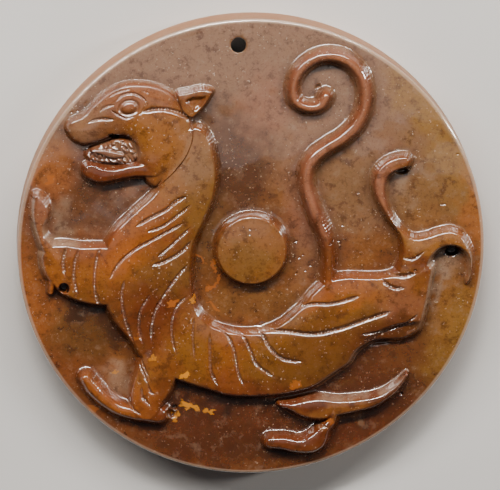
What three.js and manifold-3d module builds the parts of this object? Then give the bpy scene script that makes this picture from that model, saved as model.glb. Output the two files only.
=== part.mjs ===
// A carved jade disc, lying on its plain polished back with the carved face up.
// Millimetres, +Z up, origin in the middle of the back, +Y toward the cord hole.
// The face carries a round boss and a striding tiger with a coiled tail, all in one stone.

import * as THREE from 'three';
import { mergeVertices } from 'three/addons/utils/BufferGeometryUtils.js';
import Module from 'manifold-3d';

// Disc
const discDiameter = 60;
const groundThickness = 4.8;      // from the back to the ground of the carved face
const edgeRound = 0.4;            // rounding of the two rim edges
const rimSegments = 96;

// Relief
const reliefHeight = 1.5;         // from the ground to the top of the figure
const wallRun = 0.9;              // how far a carved wall leans in from its foot to its top
const wallBend = [0.3, 0.7];      // shares of the run and of the height at which a wall bends
const narrowRun = 0.62;           // the most that a limb's wall takes of its half width
const crownRise = 0.1;            // how much a limb swells between its shoulders
const noseAngles = [80, 60, 32];  // degrees round a limb's end, from its tip back
const rootDepth = 0.5;            // how far a carved form is let into the ground
const traceStep = 1.25;           // spacing of the points along a carved outline
const slopeSteps = 2;             // rows of faces up the wall of a flat-topped form

// Boss
const bossFootDiameter = 10.2;
const bossHeight = 1.45;
const bossSegments = 48;

// Incised lines
const lineWidth = 0.55;
const lineDepth = 0.32;
const deepestShare = 1.4;         // a wide line is cut no deeper than this share of the usual depth
const tipShare = 0.15;            // size of a line's ends
const lineStep = 1.5;
const earHollowDepth = 0.5;
const mouthCornerDepth = 0.32;

// Cord hole
const cordHoleDiameter = 2;
const cordHoleEdgeDistance = 3.3; // from the rim to the middle of the hole in the carved face
const cordHoleOffset = -1.6;      // across the disc, from the line through the boss
const cordHoleLean = 12;          // degrees: the drill ran toward the middle on its way down
const cordHoleSegments = 24;

// The figure is drawn on a disc of this radius and grows with the real one.
const drawnRadius = 30;
const discRadius = discDiameter / 2;
const figureScale = discRadius / drawnRadius;
const weldDistance = 1e-4;

const jade = new THREE.MeshStandardMaterial({ color: 0x8a4f22, roughness: 0.25, metalness: 0 });

// Trunk: neck, chest, belly and haunch, clockwise from the nape.
const trunk = [
  [-7.2, 17.0], [-5.1, 15.6], [-4.1, 12.6], [-3.8, 9.8], [-4.2, 7.0], [-5.5, 3.6], [-6.8, 0.4],
  [-7.1, -3.2], [-6.8, -6.6], [-5.3, -8.9], [-2.8, -10.0], [0.2, -10.25], [3.0, -9.45], [5.6, -7.4],
  [7.6, -5.1], [9.6, -3.5], [12.2, -3.0], [15.0, -3.1], [17.6, -2.9], [19.6, -1.5], [22.4, -1.2],
  [23.5, -2.4], [23.2, -5.0], [22.7, -8.2], [21.9, -11.3], [19.4, -12.7], [15.6, -13.0], [14.0, -14.0],
  [13.0, -15.6], [10.8, -17.1],
  [8.4, -18.7], [5.0, -19.7], [1.0, -20.1], [-3.2, -19.9], [-6.0, -19.0], [-9.0, -18.0], [-12.4, -16.6],
  [-14.7, -14.6], [-16.0, -12.4], [-18.0, -9.9], [-19.4, -7.0], [-19.9, -3.0], [-19.5, 0.6], [-18.0, 3.2],
  [-15.4, 5.8], [-12.8, 8.3], [-11.4, 11.4], [-10.4, 15.0],
];

// Head with the upper jaw, clockwise from the nose.
const head = [
  [-23.9, 16.2], [-23.3, 17.4], [-21.8, 18.1], [-20.3, 19.6], [-18.7, 21.0], [-16.6, 22.05], [-14.2, 22.25],
  [-11.6, 21.75], [-9.6, 20.5], [-7.9, 18.2], [-7.3, 15.4], [-8.1, 12.7], [-9.6, 10.6], [-11.0, 9.2],
  [-12.3, 8.1], [-13.3, 8.6], [-14.2, 9.9], [-14.9, 11.4], [-14.8, 13.4], [-15.7, 14.7], [-17.6, 14.9],
  [-19.6, 14.2], [-21.6, 13.8], [-23.1, 14.6],
];
const headShare = 1.08;

const ear = [
  [-9.8, 20.8], [-8.0, 21.35], [-6.15, 21.65], [-4.6, 21.05], [-5.0, 19.9], [-5.6, 18.95], [-6.6, 17.8],
  [-7.7, 17.1], [-9.2, 18.2],
];
const earShare = 1.12;
const earHollow = [[-8.6, 19.6], [-7.3, 20.1], [-6.1, 19.95], [-6.5, 19.0], [-7.4, 18.3]];

// The floor of the open mouth, between the jaws.
const mouth = [
  [-21.5, 12.7], [-20.7, 13.7], [-18.8, 14.4], [-16.9, 15.0], [-15.0, 14.4], [-14.3, 12.4], [-15.2, 11.0],
  [-17.6, 11.2], [-19.6, 11.3], [-21.0, 11.6],
];
const mouthShare = 0.48;

// Far hind leg with its upturned paw, clockwise from the paw; the spur is a limb.
const farHindLeg = [
  [15.27, 10.0], [16.0, 11.2], [17.3, 12.2], [18.9, 12.7], [20.2, 12.6], [20.9, 11.6], [20.6, 10.4],
  [19.1, 9.8], [18.0, 9.15], [17.7, 7.45], [18.0, 5.85], [18.75, 4.15], [19.8, 2.7], [21.05, 1.95],
  [22.6, 2.2], [24.0, 2.65], [25.55, 2.9], [27.1, 2.3], [28.25, 0.85], [28.6, -0.4], [27.9, -1.2],
  [26.8, -0.7], [25.8, -0.3], [24.65, -0.55], [23.75, -1.35], [23.0, -2.9], [20.5, -4.5], [18.2, -3.1],
  [18.65, -1.55], [18.8, 0.05], [18.4, 1.65], [17.35, 3.1], [16.3, 4.8], [15.4, 6.7], [15.05, 8.4],
];

// Small forms have steeper walls: the share of the usual run.
const steeper = { leg: 0.65, ear: 0.5, mouth: 0.5 };

// Limbs: height as a share of the relief, and points along the middle as x, y and half the width at the foot.
const limbs = {
  lowerJaw: {
    height: 0.98,
    path: [
      [-12.4, 10.7, 1.5], [-15.2, 10.6, 1.35], [-17.5, 10.15, 1.35], [-19.4, 10.1, 1.6],
      [-20.5, 10.6, 1.6],
    ],
  },
  tongue: {
    height: 0.72,
    path: [[-16.6, 12.6, 0.7], [-17.8, 12.7, 0.85], [-19.2, 13.1, 0.75], [-20.3, 13.2, 0.55]],
  },
  raisedForeleg: {
    height: 0.97,
    path: [
      [-17.5, -3.2, 4.6], [-20.0, -3.1, 4.5], [-22.2, -2.7, 4.1], [-24.0, -1.7, 3.4],
      [-25.2, -0.7, 2.4],
    ],
  },
  raisedPaw: {
    height: 1.02,
    path: [
      [-25.0, -1.0, 1.5], [-26.2, 0.7, 1.4], [-27.0, 2.3, 1.15], [-27.2, 3.8, 1.35],
      [-27.0, 5.2, 1.7], [-27.2, 6.5, 1.4], [-27.5, 7.3, 0.95],
    ],
  },
  dewClaw: {
    height: 0.9,
    path: [[-25.6, -0.2, 1.6], [-25.6, -1.9, 1.2], [-25.6, -3.6, 0.95], [-25.8, -5.3, 0.7]],
  },
  standingForeleg: {
    height: 1.03,
    path: [[-11.9, -15.0, 3.1], [-12.5, -17.0, 3.2], [-13.3, -19.0, 2.9], [-13.6, -20.6, 2.5]],
  },
  frontFoot: {
    height: 0.96,
    path: [
      [-12.0, -21.7, 1.9], [-14.5, -21.5, 1.75], [-16.9, -21.0, 1.55], [-18.9, -19.7, 1.55],
      [-20.4, -18.1, 1.65], [-21.3, -16.8, 1.5],
    ],
  },
  spur: {
    height: 1,
    path: [
      [27.0, 0.6, 1.2], [27.9, -0.7, 1.05], [28.15, -2.4, 0.8], [27.95, -4.1, 0.6],
      [27.65, -4.9, 0.45],
    ],
  },
  nearHindLeg: {
    height: 1,
    path: [
      [3.6, -20.5, 0.55], [5.0, -20.8, 1.1], [6.8, -21.1, 1.8], [8.8, -21.2, 2.15], [10.7, -21.1, 1.8],
      [13.3, -20.6, 1.3], [15.8, -20.2, 1.2], [17.7, -19.3, 1.1], [19.1, -18.0, 0.8], [20.0, -16.8, 0.45],
    ],
  },
  nearHindPaw: {
    height: 1.04,
    path: [[9.4, -23.9, 1.45], [8.2, -25.6, 1.9], [6.2, -26.1, 1.65], [4.2, -25.7, 1.6], [2.5, -25.6, 1.5]],
  },
  tail: {
    height: 1.05,
    path: [
      [9.8, -4.9, 1.45], [9.9, -2.6, 1.4], [9.9, -0.4, 1.4], [9.5, 1.6, 1.45], [8.6, 3.7, 1.5],
      [7.8, 5.8, 1.5], [7.15, 8.0, 1.45], [7.1, 10.2, 1.45], [8.0, 12.0, 1.5], [9.8, 13.4, 1.5],
      [11.7, 14.6, 1.5], [13.3, 16.1, 1.5], [14.3, 18.0, 1.45], [14.6, 20.1, 1.45], [14.2, 22.3, 1.45],
      [13.0, 24.1, 1.45], [11.3, 25.1, 1.45], [9.3, 25.3, 1.4], [7.4, 24.6, 1.35], [5.9, 23.1, 1.3],
      [5.3, 21.1, 1.25], [5.7, 19.4, 1.25], [7.2, 18.6, 1.25], [8.8, 18.9, 1.3], [9.5, 20.0, 1.4],
    ],
  },
};

// Incised lines: a share of the usual width, and points along the middle.
const lines = {
  mane: [
    { width: 1.35, path: [[-15.0, 3.3], [-13.2, 4.4], [-10.9, 5.6], [-9.6, 6.7], [-8.2, 7.3]] },
    { width: 1.0, path: [[-13.6, 2.6], [-11.4, 3.4], [-9.5, 4.8], [-7.8, 6.2]] },
    {
      width: 1.1,
      path: [[-18.3, -3.6], [-17.0, -1.4], [-15.1, 0.3], [-12.6, 1.7], [-9.8, 3.2], [-8.7, 3.8]],
    },
    { width: 1.0, path: [[-12.3, -0.8], [-10.5, 0.7], [-9.0, 2.1], [-7.7, 3.3]] },
    { width: 1.25, path: [[-13.1, -1.9], [-11.1, -1.2], [-8.9, 0.1], [-7.7, 1.5]] },
  ],
  shoulder: [
    {
      width: 1.1,
      path: [[-8.1, -1.6], [-9.7, -3.4], [-11.2, -5.6], [-12.4, -7.9], [-12.9, -10.0], [-12.9, -11.9]],
    },
  ],
  ribs: [
    { width: 1.0, path: [[-8.2, -5.8], [-9.4, -6.9], [-10.2, -8.8], [-10.3, -11.0], [-9.7, -13.5]] },
    { width: 0.9, path: [[-7.4, -8.6], [-7.6, -11.2], [-7.4, -14.0]] },
    { width: 1.0, path: [[-5.4, -10.6], [-5.4, -13.4], [-5.2, -16.0], [-4.3, -17.9]] },
    { width: 1.1, path: [[-4.3, -10.1], [-2.9, -11.6], [-2.2, -13.6], [-1.8, -16.0], [-1.0, -17.9]] },
    { width: 1.1, path: [[-3.2, -10.4], [-1.2, -11.2], [-0.3, -12.9], [0.7, -15.1], [2.9, -16.8]] },
    { width: 1.25, path: [[-0.6, -10.8], [1.3, -11.1], [2.3, -12.8], [3.9, -14.3], [6.6, -14.8]] },
  ],
  haunch: [
    {
      width: 1.6,
      path: [[0.4, -10.5], [4.4, -10.7], [8.0, -11.1], [11.5, -10.4], [15.0, -9.2], [18.1, -8.2]],
    },
    { width: 1.25, path: [[5.9, -8.0], [7.3, -7.2], [10.4, -7.1], [14.0, -6.1]] },
  ],
  hock: [
    { width: 1.7, path: [[14.0, -11.3], [17.2, -10.9], [19.6, -10.1], [21.5, -8.6]] },
  ],
  rump: [
    { width: 1.5, path: [[16.7, -3.6], [17.3, -4.6], [18.6, -5.2], [19.8, -5.1]] },
    { width: 1.7, path: [[17.4, -3.3], [19.2, -3.6], [21.3, -3.2]] },
  ],
  farThigh: [
    { width: 1.0, path: [[19.2, -1.2], [20.8, -1.3], [22.2, -0.3]] },
  ],
  chest: [
    { width: 1.1, path: [[-16.3, -3.4], [-16.7, -5.8], [-16.4, -8.2], [-15.8, -10.4], [-15.1, -12.2]] },
    { width: 1.0, path: [[-13.0, -5.5], [-14.3, -7.8], [-14.5, -10.0], [-14.0, -12.2]] },
  ],
  elbow: [
    { width: 1.1, path: [[-19.3, 1.0], [-20.0, -1.4], [-20.2, -4.4], [-19.7, -6.6], [-19.0, -7.4]] },
  ],
  wrist: [
    { width: 1.2, path: [[-22.0, 0.8], [-22.7, -1.2], [-22.8, -3.6], [-22.3, -5.5]] },
    { width: 1.2, path: [[-23.6, 1.0], [-24.2, -1.0], [-23.9, -3.2]] },
  ],
  knee: [
    { width: 0.9, path: [[-14.7, -14.3], [-13.9, -16.0], [-13.4, -17.6]] },
  ],
  claws: [
    { width: 1.1, path: [[-13.4, -17.3], [-13.0, -18.6], [-12.2, -18.8]] },
    { width: 1.1, path: [[-14.2, -17.6], [-14.1, -19.1], [-12.9, -20.6]] },
    { width: 1.1, path: [[-15.8, -18.8], [-15.6, -20.5], [-14.2, -21.6]] },
    { width: 1.1, path: [[6.4, -25.4], [7.4, -25.0]] },
  ],
  ankle: [
    { width: 1.3, path: [[7.7, -22.8], [8.7, -23.3], [10.0, -23.6]] },
  ],
  cheek: [
    { width: 1.4, path: [[-14.2, 18.3], [-12.3, 18.75], [-10.0, 18.5], [-7.9, 17.5]] },
  ],
  brow: [
    { width: 0.9, path: [[-17.4, 19.6], [-16.6, 20.55], [-15.2, 20.8], [-13.9, 20.2], [-13.3, 19.3]] },
  ],
  eyelids: [
    { width: 1.0, path: [[-19.6, 18.3], [-18.6, 19.1], [-17.3, 19.4]] },
    { width: 0.9, path: [[-18.2, 18.8], [-17.2, 18.1], [-16.1, 17.6], [-14.8, 17.9]] },
  ],
  lip: [
    { width: 1.2, path: [[-21.0, 17.0], [-19.6, 17.5], [-17.4, 17.4]] },
  ],
};

// Eyeball: its shoulder is given as shares of its radius and rise.
const eye = { at: [-15.9, 18.95], radius: 0.95, rise: 0.28, shoulder: [0.6, 0.8], segments: 12 };
const mouthCorner = { at: [-17.6, 15.3], radius: 0.55, segments: 10 };

const wasm = await Module();
wasm.setup();

function drawn(x, y, z = 0) {
  return new THREE.Vector3(x * figureScale, y * figureScale, z);
}

// Closed geometry with shared vertices becomes a solid; the order is turned if it faces inward.
function solidOf(geometry) {
  const bare = geometry.clone();
  bare.deleteAttribute('normal');
  bare.deleteAttribute('uv');
  const merged = mergeVertices(bare, weldDistance);
  const at = merged.attributes.position;
  const index = merged.index.array;
  const faces = [];
  let volume = 0;
  const [a, b, c] = [new THREE.Vector3(), new THREE.Vector3(), new THREE.Vector3()];
  for (let i = 0; i < index.length; i += 3) {
    const [p, q, r] = index.slice(i, i + 3);
    if (p === q || q === r || r === p) continue;
    faces.push(p, q, r);
    a.fromBufferAttribute(at, p);
    b.fromBufferAttribute(at, q);
    c.fromBufferAttribute(at, r);
    volume += a.dot(b.cross(c));
  }
  if (volume < 0) faces.reverse();
  const mesh = new wasm.Mesh({
    numProp: 3,
    vertProperties: Float32Array.from(at.array),
    triVerts: Uint32Array.from(faces),
  });
  return new wasm.Manifold(mesh);
}

function geometryOf(solid) {
  const mesh = solid.getMesh();
  const geometry = new THREE.BufferGeometry();
  geometry.setAttribute('position', new THREE.BufferAttribute(Float32Array.from(mesh.vertProperties), 3));
  geometry.setIndex(new THREE.BufferAttribute(Uint32Array.from(mesh.triVerts), 1));
  geometry.computeVertexNormals();
  return geometry;
}

// A turned body: the profile's points are radius and height, from the axis out and back to it.
function turned(profile, segments) {
  const lathe = new THREE.LatheGeometry(profile.map(([r, z]) => new THREE.Vector2(r, z)), segments);
  return lathe.rotateX(Math.PI / 2);
}

// Rings of points, one after another, skinned and closed with a fan at each end.
function loft(rings) {
  const count = rings[0].length;
  const positions = rings.flat().flatMap((p) => [p.x, p.y, p.z]);
  const faces = [];
  for (let ring = 0; ring < rings.length - 1; ring += 1) {
    for (let k = 0; k < count; k += 1) {
      const next = (k + 1) % count;
      const [a, b] = [ring * count + k, ring * count + next];
      faces.push(a, b, b + count, a, b + count, a + count);
    }
  }
  const last = (rings.length - 1) * count;
  for (let k = 1; k < count - 1; k += 1) {
    faces.push(0, k + 1, k, last, last + k, last + k + 1);
  }
  const geometry = new THREE.BufferGeometry();
  geometry.setAttribute('position', new THREE.Float32BufferAttribute(positions, 3));
  geometry.setIndex(faces);
  return geometry;
}

// Evenly spaced stations along a smooth line; each has its place, its half width and its side direction.
function stations(path, step) {
  const curve = new THREE.CatmullRomCurve3(
    path.map(([x, y, half = 0]) => drawn(x, y, half * figureScale)), false, 'centripetal');
  const count = Math.max(3, Math.round(curve.getLength() / step));
  const points = curve.getSpacedPoints(count);
  return points.map((point, i) => {
    const before = points[Math.max(i - 1, 0)];
    const after = points[Math.min(i + 1, count)];
    const along = new THREE.Vector3(after.x - before.x, after.y - before.y, 0).normalize();
    return { x: point.x, y: point.y, half: point.z, along, side: new THREE.Vector3(-along.y, along.x, 0) };
  });
}

// A flat-topped form: the smooth closed outline is its foot, and its wall leans in to the top.
function plate(points, height, run) {
  const curve = new THREE.CatmullRomCurve3(points.map(([x, y]) => drawn(x, y)), true, 'centripetal');
  const count = Math.round(curve.getLength() / traceStep);
  const foot = curve.getSpacedPoints(count).slice(0, count);
  const outline = new THREE.Shape(foot.map((p) => new THREE.Vector2(p.x, p.y)));
  const body = new THREE.ExtrudeGeometry(outline, {
    depth: rootDepth,
    bevelEnabled: true,
    bevelThickness: height,
    bevelSize: run,
    bevelOffset: -run,
    bevelSegments: slopeSteps,
  });
  return body.translate(0, 0, groundThickness - rootDepth);
}

// A tapering form with rounded shoulders and ends, raised above the ground along its middle line.
function limb({ path, height }) {
  const top = reliefHeight * height;
  const along = stations(path, traceStep);
  const noses = noseAngles.map((degrees) => THREE.MathUtils.degToRad(degrees));
  const first = noses.map((angle) => noseStation(along[0], -1, angle));
  const last = noses.map((angle) => noseStation(along[along.length - 1], 1, angle)).reverse();
  return loft([...first, ...along, ...last].map((station) => limbRing(station, top)));
}

function noseStation(end, direction, angle) {
  const reach = direction * end.half * Math.sin(angle);
  return {
    ...end,
    x: end.x + end.along.x * reach,
    y: end.y + end.along.y * reach,
    half: end.half * Math.cos(angle),
    heightShare: 1 - Math.sin(angle) ** 3,
  };
}

function limbRing({ x, y, half, side, heightShare = 1 }, top) {
  const run = Math.min(wallRun, half * narrowRun);
  const rise = top * heightShare;
  const [inward, upward] = wallBend;
  const flank = [
    [half, -rootDepth], [half, 0], [half - run * inward, rise * upward], [half - run, rise],
  ];
  const mirrored = flank.map(([u, z]) => [-u, z]).reverse();
  const section = [...flank, [0, rise + crownRise * heightShare], ...mirrored];
  return section.map(([u, z]) => new THREE.Vector3(x + side.x * u, y + side.y * u, groundThickness + z));
}

// A V-shaped cutter along a line, running out to nothing at both ends.
function incision({ path, width }) {
  const surface = groundThickness + reliefHeight;
  const along = stations(path, lineStep);
  const last = along.length - 1;
  return loft(along.map(({ x, y, side }, i) => {
    const share = i === 0 || i === last ? tipShare : 1;
    const depth = lineDepth * Math.min(width, deepestShare) * share;
    const above = lineDepth;
    const half = (lineWidth * width / 2) * share * (1 + above / depth);
    return [[half, above], [0, -depth], [-half, above]].map(
      ([u, z]) => new THREE.Vector3(x + side.x * u, y + side.y * u, surface + z));
  }));
}

function disc() {
  const [r, t, e] = [discRadius, groundThickness, edgeRound];
  const slant = e * (1 - Math.SQRT1_2);
  return turned([
    [0, 0], [r - e, 0], [r - slant, slant], [r, e],
    [r, t - e], [r - slant, t - slant], [r - e, t], [0, t],
  ], rimSegments);
}

function boss() {
  const foot = bossFootDiameter / 2;
  const [inward, upward] = wallBend;
  return turned([
    [0, -rootDepth], [foot, -rootDepth], [foot, 0], [foot - wallRun * inward, bossHeight * upward],
    [foot - wallRun, bossHeight], [0, bossHeight],
  ], bossSegments).translate(0, 0, groundThickness);
}

function eyeball() {
  const place = drawn(...eye.at, groundThickness + reliefHeight);
  const radius = eye.radius * figureScale;
  const [outward, upward] = eye.shoulder;
  return turned([
    [0, -rootDepth], [radius, -rootDepth], [radius, 0], [radius * outward, eye.rise * upward], [0, eye.rise],
  ], eye.segments).translate(place.x, place.y, place.z);
}

// A straight-sided hole, sunk by its depth into the ground.
function drilledPit({ at, radius, segments }, depth) {
  const place = drawn(...at, groundThickness);
  const height = depth + 2 * reliefHeight;
  const pit = new THREE.CylinderGeometry(radius, radius, height, segments).rotateX(Math.PI / 2);
  return pit.translate(place.x, place.y, place.z - depth + height / 2);
}

function cordHole() {
  const across = cordHoleOffset;
  const up = Math.sqrt((discRadius - cordHoleEdgeDistance) ** 2 - across ** 2);
  const radius = cordHoleDiameter / 2;
  const length = 3 * (groundThickness + reliefHeight);
  const drill = new THREE.CylinderGeometry(radius, radius, length, cordHoleSegments).rotateX(Math.PI / 2);
  drill.rotateX(THREE.MathUtils.degToRad(-cordHoleLean));
  return drill.translate(across, up, groundThickness);
}

// A recess with the given outline, sunk by its depth below the top of the figure.
function hollow(points, depth) {
  const corners = points.map(([x, y]) => new THREE.Vector2(x * figureScale, y * figureScale));
  const settings = { depth: depth + reliefHeight, bevelEnabled: false };
  const cutter = new THREE.ExtrudeGeometry(new THREE.Shape(corners), settings);
  return cutter.translate(0, 0, groundThickness + reliefHeight - depth);
}

const raised = [
  plate(trunk, reliefHeight, wallRun),
  plate(head, reliefHeight * headShare, wallRun),
  plate(ear, reliefHeight * earShare, wallRun * steeper.ear),
  plate(mouth, reliefHeight * mouthShare, wallRun * steeper.mouth),
  plate(farHindLeg, reliefHeight, wallRun * steeper.leg),
  eyeball(),
  boss(),
  ...Object.values(limbs).map(limb),
];

const cut = [
  ...Object.values(lines).flat().map(incision),
  hollow(earHollow, earHollowDepth),
  drilledPit(mouthCorner, mouthCornerDepth),
  cordHole(),
];

let stone = solidOf(disc());
for (const form of raised) stone = stone.add(solidOf(form));
for (const form of cut) stone = stone.subtract(solidOf(form));

const carvedDisc = new THREE.Mesh(geometryOf(stone), jade);
carvedDisc.name = 'carved_disc';

const model = new THREE.Group();
model.add(carvedDisc);

export default model;
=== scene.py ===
"""A carved jade disc, lying on its back with the carved face up, seen from almost straight above.

Lengths in this file are millimetres until a mesh is made. The face's height is worked out on a square grid
of samples, and the mesh is cut from it. Its outlines, middle lines and sizes are those of the part's solids,
but for small changes and finer detail.
"""

import math

import bpy
import numpy as np
from mathutils import Matrix, Vector


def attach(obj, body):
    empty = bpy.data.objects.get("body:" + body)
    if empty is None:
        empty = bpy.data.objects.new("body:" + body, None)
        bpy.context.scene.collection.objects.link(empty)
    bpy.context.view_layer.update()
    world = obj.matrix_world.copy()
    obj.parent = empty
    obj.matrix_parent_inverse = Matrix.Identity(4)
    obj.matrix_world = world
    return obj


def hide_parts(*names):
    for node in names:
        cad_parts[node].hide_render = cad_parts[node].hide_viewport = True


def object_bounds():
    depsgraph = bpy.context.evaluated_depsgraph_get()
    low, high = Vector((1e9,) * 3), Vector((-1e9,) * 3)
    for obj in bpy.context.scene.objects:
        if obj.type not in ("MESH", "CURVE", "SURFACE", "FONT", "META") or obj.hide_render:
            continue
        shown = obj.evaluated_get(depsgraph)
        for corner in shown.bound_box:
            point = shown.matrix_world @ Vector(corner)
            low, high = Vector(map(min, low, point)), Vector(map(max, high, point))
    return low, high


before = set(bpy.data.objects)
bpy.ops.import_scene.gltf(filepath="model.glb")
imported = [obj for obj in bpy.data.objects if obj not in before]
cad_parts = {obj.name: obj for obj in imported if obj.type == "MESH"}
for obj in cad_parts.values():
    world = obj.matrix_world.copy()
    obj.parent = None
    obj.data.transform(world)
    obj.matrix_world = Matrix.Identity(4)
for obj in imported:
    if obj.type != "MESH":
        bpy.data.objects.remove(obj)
cad_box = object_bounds()

# Disc
DISC_RADIUS = 30.0
GROUND = 4.8              # thickness from the back to the ground of the carved face
EDGE_ROUND = 0.4          # rounding of the two rim edges
FACE_RADIUS = DISC_RADIUS - EDGE_ROUND

# Relief
RELIEF = 1.5              # from the ground to the top of the figure
WALL_RUN = 1.05           # how far a carved wall leans in from its foot to its shoulder
CROWN = 0.1               # how much a form swells between its shoulders
SWELL_RUN = 1.2           # how soon that swelling levels out
FOOT_SHARE = 0.32         # share of a wall's run that its hollow foot takes
SHOULDER_SHARE = 0.36     # share of a wall's run that its rounded shoulder takes
CREASE = 0.12             # how far apart two heights may be for the crease between them to be filled
LINE_STEP = 0.4           # spacing of the rows along outlines and limbs

# Boss
BOSS_FOOT = 5.1
BOSS_HEIGHT = 1.45
BOSS_RUN = 0.85
BOSS_SWELL = 0.05

# Head
HEAD_SHARE = 1.08         # height of the head as a share of the relief
EAR_SHARE = 1.12          # the same for the ear
HEAD_WALL = 0.3           # share of the head's height that its wall takes; the rest is a long roll
HEAD_ROLL = 2.8           # how far in from the outline that roll goes
HEAD_CLEARING = 0.16      # how much lower the body lies beside the head
HEAD_CREASE = 0.25
CHEEK_RISE = 0.16
BROW_FALL = 0.1           # how much lower the head lies inside its shoulder, before the cheek is added
MOUTH_FLOOR = 0.62
MOUTH_ROUGH = 0.2         # how much the floor of the mouth goes up and down
EAR_HOLLOW_DEPTH = 0.45
EYE = (-15.7, 18.95, 0.85, 0.24)    # x, y, radius and rise
EYE_RING_DEPTH = 0.18
DULL_SHOULDER = (0.3, 1.9)          # the forehead's less polished band, measured in from the head's outline

# Incised lines
LINE_WIDTH = 0.5
LINE_DEPTH = 0.24
BEAD_PITCH = 0.42         # spacing of the drill's touches along an incised line
WAVER = 0.22              # share of the depth that those touches add and take
GROOVE_STEP = 0.25        # spacing of the rows along an incised line
TAPER = 1.3               # run of the taper at the two ends of a line

# Tool marks across the walls
TICK_PITCH = 0.45
TICK_DEPTH = 0.018
TICK_ELSEWHERE = 0.22     # share of that depth away from the marked places

# Unevenness of the whole face: height, number of waves, shortest and longest wave
SLOW_WAVES = (0.025, 16, 9, 24)
QUICK_WAVES = (0.003, 30, 2.0, 5)

# Cord hole
HOLE_RADIUS = 1.0
HOLE_PLACE = (-1.6, 26.65)
HOLE_LEAN = 12.0          # degrees: the drill ran toward the middle on its way down
HOLE_SIDES = 64
HOLE_MARGIN = 0.25        # how near the hole the face keeps the mesh's own normals
LIP_DEPTH = 0.1           # how far the stone is worn down at the hole's lip, and how far out that goes
LIP_WIDTH = 0.18

# Grid of height samples
PITCH = 0.05
SIDE = 1201
HALF_SIDE = (SIDE - 1) // 2
axis = (np.arange(SIDE) - HALF_SIDE) * PITCH
across, up = np.meshgrid(axis, axis, indexing="ij")
random = np.random.default_rng(11)

# Places where the tool's marks stand out: x, y and radius.
MARKED = [
    (13, -19.5, 4), (18, -17.5, 3), (3.5, -24.5, 3.5), (-4.5, 9, 4), (-4.5, 14, 3), (-6, 1, 5),
    (-7, 20.8, 2.5), (15.5, 21, 4), (9.5, 26, 4), (13, 14.5, 4), (10, 9, 4), (10.5, 2, 4), (23, 2.5, 4),
    (-11.5, -21.5, 3), (20, -7, 3), (-15, 5.5, 3), (28, 0, 3), (17, 11, 3), (13, -3, 4), (5.2, -4, 3),
    (-18.5, -16.5, 4),
]
tick_depth = np.full((SIDE, SIDE), TICK_ELSEWHERE)
for mark_x, mark_y, mark_radius in MARKED:
    near_mark = np.exp(-((across - mark_x) ** 2 + (up - mark_y) ** 2) / (0.5 * mark_radius**2))
    tick_depth = np.maximum(tick_depth, near_mark)
tick_depth *= TICK_DEPTH

# Net of triangles that the face is cut into
NET_CELLS = 1024          # finest cells across
RIM_CELL = 8              # cells of the net in one edge of the rim
COLOUR_CELL = 8           # coarsest cells of the carved face, which carries the stone's colours
ALLOWED_ERROR = 0.018     # how far the net may stand off the worked-out surface
SIDE_RINGS = [3.4, 2.4, 1.4]        # heights of the rings of quads on the plain side
EDGE_TURNS = np.arange(15, 91, 15)  # degrees round a rim edge
SHARP = 62                # degrees between two faces that make an edge sharp
CLEARANCE = 0.02          # how far the face stays below the top of the solids' box
HIGHEST = cad_box[1][2] * 1000 - CLEARANCE

# Outlines: x and y of the points that a smooth closed line runs through.
TRUNK = [
    (-7.2, 17), (-5.1, 15.6), (-4.1, 12.6), (-3.8, 9.8), (-4.2, 7), (-5.5, 3.6), (-6.8, 0.4),
    (-7.1, -3.2), (-6.8, -6.6), (-5.3, -8.9), (-2.8, -10), (0.2, -10.25), (3, -9.45), (5.6, -7.4),
    (7.6, -5.1), (9.6, -3.5), (12.2, -3), (15, -3.1), (17.6, -2.9), (19.6, -1.5), (22.4, -1.2),
    (23.9, -2.4), (23.6, -5), (23, -8.2), (22, -11.3), (19.4, -12.7), (15.6, -13), (14, -14),
    (13, -15.6), (10.8, -17.1), (8.4, -18.7), (5, -19.7), (1, -20.1), (-3.2, -19.9), (-6, -19),
    (-9, -18), (-12.4, -16.6), (-14.7, -14.6), (-16, -12.4), (-18, -9.9), (-19.4, -7),
    (-19.9, -3), (-19.5, 0.6), (-18, 3.2), (-15.4, 5.8), (-12.8, 8.3), (-11.4, 11.4), (-10.4, 15),
]
HEAD = [
    (-23.9, 16.2), (-23.3, 17.4), (-21.8, 18.1), (-20.3, 19.6), (-18.7, 21), (-16.6, 22.05),
    (-14.2, 22.25), (-11.6, 21.75), (-9.6, 20.5), (-7.9, 18.2), (-7.3, 15.4), (-8.1, 12.7), (-9.6, 10.6),
    (-11, 9.2), (-12.3, 8.1), (-13.3, 8.6), (-14.2, 9.9), (-14.9, 11.4), (-14.8, 13.4),
    (-15.7, 14.7), (-17.6, 14.9), (-19.6, 14.2), (-21.6, 13.8), (-23.1, 14.6),
]
EAR = [
    (-9.8, 20.8), (-8, 21.35), (-6.15, 21.65), (-4.6, 21.05), (-5, 19.9), (-5.6, 18.95), (-6.6, 17.8),
    (-7.7, 17.1), (-9.2, 18.2),
]
EAR_HOLLOW = [
    (-8.6, 19.9), (-7.6, 20.35), (-6.6, 20.45), (-5.7, 20.4), (-6.1, 19.4), (-7.2, 18.3), (-8, 18.9),
]
CHEEK = [
    (-14.6, 18.2), (-12.3, 18.7), (-10, 18.4), (-7.6, 17.3), (-7, 15.2), (-8, 12.6), (-9.6, 10.9),
    (-11.6, 10.2), (-13.6, 10.9), (-14.7, 12.6), (-15.2, 14.6), (-15.3, 16.6),
]
MOUTH = [
    (-21.5, 12.7), (-20.7, 13.7), (-18.8, 14.4), (-16.9, 15), (-15, 14.4), (-14.3, 12.4), (-15.2, 11),
    (-17.6, 11.2), (-19.6, 11.3), (-21, 11.6),
]

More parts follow.
